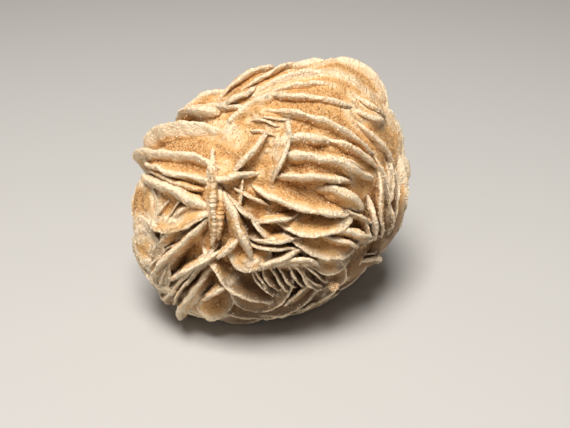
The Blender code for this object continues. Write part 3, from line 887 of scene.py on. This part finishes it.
def grains_at(name, places, radii, chance):
    """A small eight-sided crystal at each place, turned and stretched at random."""
    seeds = bpy.data.meshes.new(name)
    seeds.vertices.add(len(places))
    seeds.vertices.foreach_set("co", places.astype(np.float32).ravel())
    low, high = radii
    sizes = low + (high - low) * chance.random((len(places), 1)) ** 2
    sizes = sizes * chance.uniform(0.75, 1.25, (len(places), 3))
    turns = chance.uniform(0, math.tau, (len(places), 3))
    for label, values in (("grain_size", sizes), ("grain_turn", turns)):
        attribute = seeds.attributes.new(label, "FLOAT_VECTOR", "POINT")
        attribute.data.foreach_set("vector", values.astype(np.float32).ravel())
    store(seeds, "tone", chance.random(len(places)))
    tree = bpy.data.node_groups.new(name, "GeometryNodeTree")
    for side in ("INPUT", "OUTPUT"):
        tree.interface.new_socket("Geometry", in_out=side, socket_type="NodeSocketGeometry")
    named = "GeometryNodeInputNamedAttribute"
    size = new_node(tree, named, {"Name": "grain_size"}, data_type="FLOAT_VECTOR")
    turn = new_node(tree, named, {"Name": "grain_turn"}, data_type="FLOAT_VECTOR")
    rotation = new_node(tree, "FunctionNodeEulerToRotation", {"Euler": turn.outputs["Attribute"]})
    crystal = new_node(tree, "GeometryNodeMeshUVSphere", {"Segments": 4, "Rings": 2, "Radius": 1.0})
    inputs = {
        "Points": new_node(tree, "NodeGroupInput").outputs["Geometry"],
        "Instance": crystal.outputs["Mesh"],
        "Scale": size.outputs["Attribute"],
        "Rotation": rotation.outputs["Rotation"],
    }
    grains = new_node(tree, "GeometryNodeInstanceOnPoints", inputs)
    whole = new_node(tree, "GeometryNodeRealizeInstances", {"Geometry": grains.outputs["Instances"]})
    new_node(tree, "NodeGroupOutput", {"Geometry": whole.outputs["Geometry"]})
    obj = placed(name, seeds)
    obj.modifiers.new("grains", "NODES").node_group = tree
    data = settled(obj, name)
    bpy.data.node_groups.remove(tree)
    return data


# ---- materials ----
class Finish:
    """A material and its nodes. What they take is a socket, a number or a colour."""

    def __init__(self, name):
        self.material = bpy.data.materials.new(name)
        self.material.use_nodes = True
        self.tree = self.material.node_tree

    def node(self, kind, inputs=None, **settings):
        return new_node(self.tree, "ShaderNode" + kind, inputs, **settings)

    def surface(self, inputs):
        for name, value in inputs.items():
            feed(self.tree, self.tree.nodes["Principled BSDF"].inputs[name], value)

    def attribute(self, name):
        return self.node("Attribute", attribute_name=name).outputs["Fac"]

    def noise(self, where, scale, detail=3.0, roughness=0.55):
        inputs = {"Vector": where, "Scale": scale, "Detail": detail, "Roughness": roughness}
        return self.node("TexNoise", inputs).outputs["Fac"]

    def step(self, value, low, high):
        inputs = {"Value": value, "From Min": low, "From Max": high}
        return self.node("MapRange", inputs, interpolation_type="SMOOTHSTEP").outputs["Result"]

    def mix(self, share, first, second):
        inputs = {"Factor": share, "A": first, "B": second}
        return self.node("Mix", inputs, data_type="RGBA").outputs["Result"]

    def calc(self, operation, first, second):
        node = self.node("Math", operation=operation)
        for socket, value in zip(node.inputs, (first, second)):
            feed(self.tree, socket, value)
        return node.outputs["Value"]

    def bump(self, height, distance, strength, below=None):
        inputs = {"Height": height, "Distance": distance, "Strength": strength}
        if below is not None:
            inputs["Normal"] = below
        return self.node("Bump", inputs).outputs["Normal"]


def stone_material(name, settings):
    """Gypsum with sand stuck to it: cream rims that turn orange and grainy towards the valleys, with painted
    shade in shut-in places and at the bottom of the front.
    """
    finish = Finish(name)
    calc, step, mix, attribute = finish.calc, finish.step, finish.mix, finish.attribute
    where = finish.node("TexCoord").outputs["Object"]
    patch = finish.noise(where, PATCHES)
    fine = finish.noise(where, PITS, roughness=0.7)
    cells = finish.node("TexVoronoi", {"Vector": where, "Scale": SAND_CELLS})
    split = finish.node("SeparateColor", {"Color": cells.outputs["Color"]})
    chance = split.outputs["Red"]
    tone = split.outputs["Green"]
    dusted = attribute("dusting")
    rim_gap = attribute("rim_gap")
    # valley is 0 at a clean rim, and more than 1 where sand covers the gypsum.
    patchy = calc("ADD", calc("MULTIPLY", step(dusted, 0.6, 0.9), 0.9), 0.4)
    uneven = calc("MULTIPLY", calc("SUBTRACT", patch, 0.5), patchy)
    banked = calc("SUBTRACT", 1.0, step(attribute("height"), 0.0, 0.9))
    valley = calc("ADD", calc("MULTIPLY", attribute("from_rim"), 0.7), calc("MULTIPLY", banked, 0.5))
    valley = calc("ADD", valley, uneven)
    valley = calc("SUBTRACT", valley, calc("MULTIPLY", calc("SUBTRACT", 1.0, dusted), 0.25))
    gypsum = mix(step(valley, 0.1, 0.9), settings.rim_colour, settings.face_colour)
    gypsum = mix(step(valley, 0.7, 1.7), gypsum, settings.sand_colour)
    pits = calc("MULTIPLY", step(fine, 0.42, 0.72), 0.3)
    pits = calc("ADD", pits, calc("MULTIPLY", step(tone, 0.75, 0.95), 0.2))
    gypsum = mix(pits, gypsum, settings.sand_colour)
    # Grains of sand stand closer together the sandier a place is.
    crowd = calc("SUBTRACT", calc("MULTIPLY", step(valley, 0.8, 1.9), 0.85), 0.03)
    grain = step(calc("SUBTRACT", crowd, chance), -0.04, 0.04)
    sand = mix(step(tone, 0.3, 0.75), settings.dark_sand_colour, settings.pale_sand_colour)
    sand = mix(step(tone, 0.03, 0.01), sand, settings.shade_and_dark_grain_colour)
    colour = mix(calc("MULTIPLY", grain, 0.95), gypsum, sand)
    # Painted shade: places that the stone shuts in are darkened towards the crevice brown, as if in shadow.
    dark = calc("MULTIPLY", calc("SUBTRACT", 1.0, step(attribute("openness"), 0.0, 0.4)), 0.7)
    colour = mix(dark, colour, settings.shade_and_dark_grain_colour)
    # Painted shade: the bottom of the front, away from the rims, is darkened towards a shadowy brown.
    shaded = calc("MULTIPLY", attribute("underside_shade"), step(rim_gap, 0.05, 0.45))
    colour = mix(calc("MULTIPLY", shaded, 0.8), colour, settings.underside_shade_colour)
    # Ticks run across the rims, beads are the grains, and the rest is roughness of two sizes.
    inputs = {"W": attribute("along_rim"), "Scale": 1.8, "Detail": 3.0}
    ticks = finish.node("TexNoise", inputs, noise_dimensions="1D").outputs["Fac"]
    ticks = calc("MULTIPLY", ticks, calc("SUBTRACT", 1.0, step(rim_gap, 0.2, 1.2)))
    bead = calc("ADD", calc("MULTIPLY", grain, 0.7), 0.3)
    bead = calc("MULTIPLY", calc("SUBTRACT", 1.0, cells.outputs["Distance"]), bead)
    normal = finish.bump(finish.noise(where, BUMPS, detail=2.0), 0.4 * MM, 0.7)
    normal = finish.bump(ticks, 0.5 * MM, 0.9, normal)
    normal = finish.bump(fine, 0.4 * MM, 1.0, normal)
    normal = finish.bump(bead, 0.2 * MM, 1.0, normal)
    finish.surface({"Base Color": colour, "Roughness": 0.8, "Specular IOR Level": 0.4, "Normal": normal})
    return finish.material


def grain_material(name, colours):
    """Loose grains, each with its own tone: mostly the first two colours, and now and then the third."""
    finish = Finish(name)
    tone = finish.attribute("tone")
    colour = finish.mix(finish.step(tone, 0.3, 0.8), colours[0], colours[1])
    colour = finish.mix(finish.step(tone, 0.03, 0.01), colour, colours[2])
    finish.surface({"Base Color": colour, "Roughness": 0.45})
    return finish.material


def add_piece(name, data):
    """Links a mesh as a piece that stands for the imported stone."""
    obj = placed(name, data)
    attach(obj, "root")
    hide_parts("sand_rose")
    return obj


def give_finish(piece, material, smooth=False):
    piece.data.materials.clear()
    piece.data.materials.append(material)
    if smooth:
        piece.data.shade_smooth()
        piece.data.set_sharp_from_angle(angle=math.radians(50))


# ---- settings, operators and panel ----
class SandRoseSettings(bpy.types.PropertyGroup):
    rim_bite: FloatProperty(
        name="Rim bite", description="Height of the waves along a rim", default=0.10 * MM, unit="LENGTH"
    )
    face_wave: FloatProperty(
        name="Face wave", description="Height of the waves across a blade", default=0.13 * MM, unit="LENGTH"
    )
    grit: FloatProperty(
        name="Grit", description="How rough a blade's surface is", default=0.035 * MM, unit="LENGTH"
    )
    sand_softness: IntProperty(
        name="Sand softness", description="How often the sand in the valleys is smoothed", default=10
    )
    sand_depth: FloatProperty(
        name="Sand depth", description="How far under a rim sand starts", default=1.1 * MM, unit="LENGTH"
    )
    bank_width: FloatProperty(
        name="Bank width", description="Width that its bank adds to a blade", default=0.9 * MM, unit="LENGTH"
    )
    sand_lumps: FloatProperty(
        name="Sand lumps", description="Height of the sand's unevenness", default=0.12 * MM, unit="LENGTH"
    )
    rim_colour: FloatVectorProperty(
        name="Rim", description="Colour of the clean rims", default=(0.98, 0.83, 0.61), subtype="COLOR"
    )
    sugar_colour: FloatVectorProperty(
        name="Sugar", description="Colour of the palest crystals", default=(1.0, 0.88, 0.70), subtype="COLOR"
    )
    face_colour: FloatVectorProperty(
        name="Face", description="Colour of the blades' faces", default=(0.80, 0.49, 0.21), subtype="COLOR"
    )
    pale_sand_colour: FloatVectorProperty(
        name="Pale sand", description="Colour of the pale grains", default=(0.82, 0.55, 0.27), subtype="COLOR"
    )
    sand_colour: FloatVectorProperty(
        name="Sand", description="Middle colour of the sand", default=(0.61, 0.315, 0.11), subtype="COLOR"
    )
    dark_sand_colour: FloatVectorProperty(
        name="Dark sand", description="Colour of dark grains", default=(0.47, 0.215, 0.06), subtype="COLOR"
    )
    clot_radius: FloatProperty(
        name="Clot", description="Radius of the clot of sand", default=0.9 * MM, unit="LENGTH"
    )
    clot_colour: FloatVectorProperty(
        name="Clot colour", description="Colour of the clot", default=(1.0, 0.74, 0.44), subtype="COLOR"
    )
    # Painted shade between the blades, and also the colour of the darkest grains.
    shade_and_dark_grain_colour: FloatVectorProperty(
        name="Crevice", description="Colour between the blades", default=(0.22, 0.10, 0.04), subtype="COLOR"
    )
    # Painted shade: the brown that the bottom of the front is darkened to.
    underside_shade_colour: FloatVectorProperty(
        name="Underside", description="Colour underneath", default=(0.25, 0.145, 0.075), subtype="COLOR"
    )
    key_light: FloatProperty(name="Key light", description="Main light's power", default=3.5, unit="POWER")


def front_discs():
    main = [front_disc(blade) for blade in FRONT]
    beside = companions([front_disc(blade) for blade in STACKED], 23, 0.6, (0.25, 0.7))
    spur = [
        Disc(in_space(right * MM, up * MM, depth * MM), UP, RIGHT, radius * MM, thickness * MM)
        for right, up, depth, radius, thickness in SPUR
    ]
    return main + [front_disc(blade) for blade in FINE] + spur + beside


def back_discs():
    hidden = hidden_discs() + feet_discs()
    return hidden + companions(hidden, 11, 0.7, (0.4, 1.2))


def piece_named(name):
    if name not in bpy.data.objects:
        raise RuntimeError(f"{name} isn't there yet: the panel lists the steps in their order")
    return bpy.data.objects[name]


class SANDROSE_OT_grow_blades(bpy.types.Operator):
    """Grows the crystal blades of the front and of the back"""

    bl_idname = "sandrose.grow_blades"
    bl_label = "Grow the blades"

    def execute(self, context):
        settings = context.scene.sand_rose
        for name, discs, step, seed in (
            ("front_blades", front_discs(), FRONT_STEP, 7),
            ("back_blades", back_discs(), BACK_STEP, 8),
        ):
            data = grown_together(name, discs + terraces(discs, seed), step, seed, settings)
            press_flat(data)
            add_piece(name, data)
        return {"FINISHED"}


class SANDROSE_OT_pack_sand(bpy.types.Operator):
    """Packs sand into the valleys between the blades"""

    bl_idname = "sandrose.pack_sand"
    bl_label = "Pack the sand"

    def execute(self, context):
        data = sand_mesh(front_discs() + back_discs(), context.scene.sand_rose)
        press_flat(data)
        add_piece("valley_sand", data)
        return {"FINISHED"}


class SANDROSE_OT_finish_stone(bpy.types.Operator):
    """Reads the rims, valleys and crevices off the blades and the sand, and colours them by these, with
    painted shade in the crevices and at the bottom of the front
    """

    bl_idname = "sandrose.finish_stone"
    bl_label = "Finish the stone"

    def execute(self, context):
        pieces = [piece_named(name) for name in ("front_blades", "back_blades", "valley_sand")]
        sand = pieces[-1]
        rims = front_discs() + back_discs()
        tree = tree_of([piece.data for piece in pieces])
        sand_tree = tree_of([sand.data])
        gypsum = stone_material("sandy_gypsum", context.scene.sand_rose)
        for piece in pieces:
            data = piece.data
            places = places_of(data)
            from_rim, rim_gap, along = nearest_rim(places, rims)
            height = np.zeros(len(places)) if piece is sand else height_above(places, sand_tree)
            for name, values in (
                ("from_rim", from_rim / MM),
                ("rim_gap", rim_gap / MM),
                ("along_rim", along / MM),
                ("dusting", dusting(places)),
                ("underside_shade", underside_shade(places)),
                ("height", height / MM),
                ("openness", openness(places, normals_of(data), tree)),
            ):
                store(data, name, values)
            give_finish(piece, gypsum, smooth=True)
        return {"FINISHED"}


class SANDROSE_OT_scatter_grains(bpy.types.Operator):
    """Scatters loose sand grains in the valleys and sugary crystals on the rims"""

    bl_idname = "sandrose.scatter_grains"
    bl_label = "Scatter the grains"

    def execute(self, context):
        settings = context.scene.sand_rose
        chance = np.random.default_rng(5)
        sand = piece_named("valley_sand").data
        # Loose grains stay in open places, and few lie where the bottom of the front is painted in shade.
        weights = np.clip(values_of(sand, "openness") * 3, 0, 1) * (1 - 0.8 * values_of(sand, "underside_shade"))
        places = scattered(sand, weights, GRAINS, chance)
        data = grains_at("sand_grains", places, SAND_SIZES, chance)
        colours = (settings.dark_sand_colour, settings.pale_sand_colour, settings.shade_and_dark_grain_colour)
        give_finish(add_piece("sand_grains", data), grain_material("loose_sand", colours))
        front = piece_named("front_blades").data
        weights = np.clip(1.4 - values_of(front, "from_rim") / 1.5, 0.12, 1)
        weights *= np.clip(values_of(front, "openness") * 4, 0, 1)
        weights *= values_of(front, "height") > 0.1
        # No sugar where the bottom of the front is painted in shade, away from the rims.
        weights *= 1 - values_of(front, "underside_shade") * (values_of(front, "rim_gap") > 0.5)
        places = scattered(front, weights, GRAINS * 2 // 3, chance)
        back = piece_named("back_blades").data
        weights = np.clip(1.4 - values_of(back, "from_rim") / 3.0, 0.15, 1)
        weights *= values_of(back, "height") > 0.1
        places = np.concatenate([places, scattered(back, weights, GRAINS // 3, chance)])
        data = grains_at("rim_sugar", places, SUGAR_SIZES, chance)
        colours = (settings.face_colour, settings.sugar_colour, settings.pale_sand_colour)
        give_finish(add_piece("rim_sugar", data), grain_material("gypsum_sugar", colours))
        return {"FINISHED"}


class SANDROSE_OT_add_clot(bpy.types.Operator):
    """Adds the clot of orange sand that hangs low at the front"""

    bl_idname = "sandrose.add_clot"
    bl_label = "Add the clot of sand"

    def execute(self, context):
        settings = context.scene.sand_rose
        right, up = CLOT[0] * MM, CLOT[1] * MM
        middle = in_space(right, up, envelope_depth(right, up) + CLOT_LIFT)
        mesh = bmesh.new()
        bmesh.ops.create_icosphere(mesh, subdivisions=4, radius=1)
        for vert in mesh.verts:
            lump = noise.fractal(vert.co * 2.3, *CLOT_LUMPS)
            vert.co = middle + vert.co * settings.clot_radius * (1 + 0.35 * lump)
        clot = new_mesh("clot", mesh)
        chance = np.random.default_rng(9)
        places = scattered(clot, np.ones(len(clot.vertices)), CLOT_GRAINS, chance)
        grains = grains_at("clot_grains", places, CLOT_SIZES, chance)
        mesh = bmesh.new()
        for part in (clot, grains):
            mesh.from_mesh(part)
            bpy.data.meshes.remove(part)
        colours = (settings.clot_colour, settings.rim_colour, settings.dark_sand_colour)
        clot = add_piece("sand_clot", new_mesh("sand_clot", mesh))
        give_finish(clot, grain_material("orange_sand", colours))
        return {"FINISHED"}


class SANDROSE_OT_set_stage(bpy.types.Operator):
    """Sets the floor, the lights and the camera"""

    bl_idname = "sandrose.set_stage"
    bl_label = "Set the stage"

    def execute(self, context):
        scene = context.scene
        mesh = bmesh.new()
        bmesh.ops.create_grid(mesh, x_segments=1, y_segments=1, size=FLOOR_REACH)
        floor = placed("floor", new_mesh("floor", mesh))
        finish = Finish("pale_floor")
        finish.surface({"Base Color": FLOOR_COLOUR, "Roughness": 0.9})
        floor.data.materials.append(finish.material)
        camera = bpy.data.cameras.new("camera")
        camera.lens = CAMERA_LENS
        camera.clip_start = 0.01
        scene.camera = placed("camera", camera)
        turn = Matrix.Rotation(-CAMERA_YAW, 4, "Z") @ Matrix.Rotation(math.pi / 2 - CAMERA_PITCH, 4, "X")
        place = HEART + Vector((0, -CAMERA_BACK, CAMERA_UP))
        scene.camera.matrix_world = Matrix.Translation(place) @ turn
        for name, place, size, share, colour in LIGHTS:
            light = bpy.data.lights.new(name, "AREA")
            light.size = size
            light.energy = scene.sand_rose.key_light * share
            light.color = colour
            place = Vector(place)
            turn = (place - HEART).to_track_quat("Z", "Y").to_matrix().to_4x4()
            placed(name, light).matrix_world = Matrix.Translation(place) @ turn
        world = bpy.data.worlds.new("soft_room")
        world.use_nodes = True
        room = world.node_tree.nodes["Background"].inputs
        feed(world.node_tree, room["Color"], ROOM_COLOUR)
        feed(world.node_tree, room["Strength"], ROOM_STRENGTH)
        scene.world = world
        scene.view_settings.view_transform = "Standard"
        return {"FINISHED"}


class SANDROSE_PT_panel(bpy.types.Panel):
    """Lists what builds the sand rose"""

    bl_idname = "SANDROSE_PT_panel"
    bl_label = "Sand Rose"
    bl_space_type = "VIEW_3D"
    bl_region_type = "UI"
    bl_category = "Sand Rose"

    def draw(self, context):
        for name in SandRoseSettings.__annotations__:
            self.layout.prop(context.scene.sand_rose, name)
        for operator in OPERATORS:
            self.layout.operator(operator.bl_idname)


OPERATORS = (
    SANDROSE_OT_grow_blades,
    SANDROSE_OT_pack_sand,
    SANDROSE_OT_finish_stone,
    SANDROSE_OT_scatter_grains,
    SANDROSE_OT_add_clot,
    SANDROSE_OT_set_stage,
)
CLASSES = (SandRoseSettings, *OPERATORS, SANDROSE_PT_panel)


def register():
    for cls in CLASSES:
        bpy.utils.register_class(cls)
    bpy.types.Scene.sand_rose = PointerProperty(type=SandRoseSettings)


def unregister():
    del bpy.types.Scene.sand_rose
    for cls in reversed(CLASSES):
        bpy.utils.unregister_class(cls)


def main():
    register()
    bpy.ops.sandrose.grow_blades()
    bpy.ops.sandrose.pack_sand()
    bpy.ops.sandrose.finish_stone()
    bpy.ops.sandrose.scatter_grains()
    bpy.ops.sandrose.add_clot()
    bpy.ops.sandrose.set_stage()
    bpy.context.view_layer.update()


if __name__ == "__main__":
    main()
